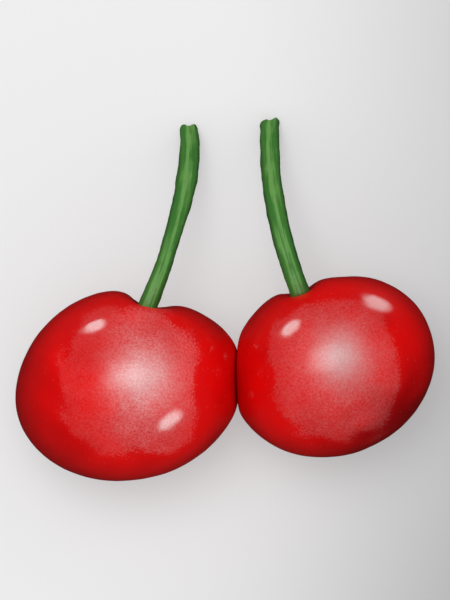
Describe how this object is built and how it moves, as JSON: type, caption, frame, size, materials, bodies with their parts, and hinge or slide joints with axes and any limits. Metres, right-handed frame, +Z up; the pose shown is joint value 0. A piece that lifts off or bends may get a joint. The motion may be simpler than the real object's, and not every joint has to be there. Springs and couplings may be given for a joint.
{
  "type": "pair of cherries on stalks",
  "caption": "Pair of ripe red sweet cherries lying cheek to cheek, each on its own curved green stalk with a torn end.",
  "frame": {"origin": "bottom centre of the bounding box, on the surface that the cherries lie on", "axes": "+X from the left fruit to the right fruit, +Y towards the stalk tips, +Z up from the surface"},
  "size_m": [0.0524, 0.0454, 0.0253],
  "materials": {
    "cherry_skin_left": "waxy glossy ripe red cherry skin with fine pale speckles",
    "cherry_skin_right": "waxy glossy ripe red cherry skin with fine pale speckles, a little darker below",
    "stalk_green": "satin green stalk with a lighter line along it and a paler torn end"
  },
  "bodies": {
    "root": {"fruit_left": "cherry_skin_left", "stalk_left": "stalk_green", "fruit_right": "cherry_skin_right", "stalk_right": "stalk_green"}
  },
  "joints": []
}
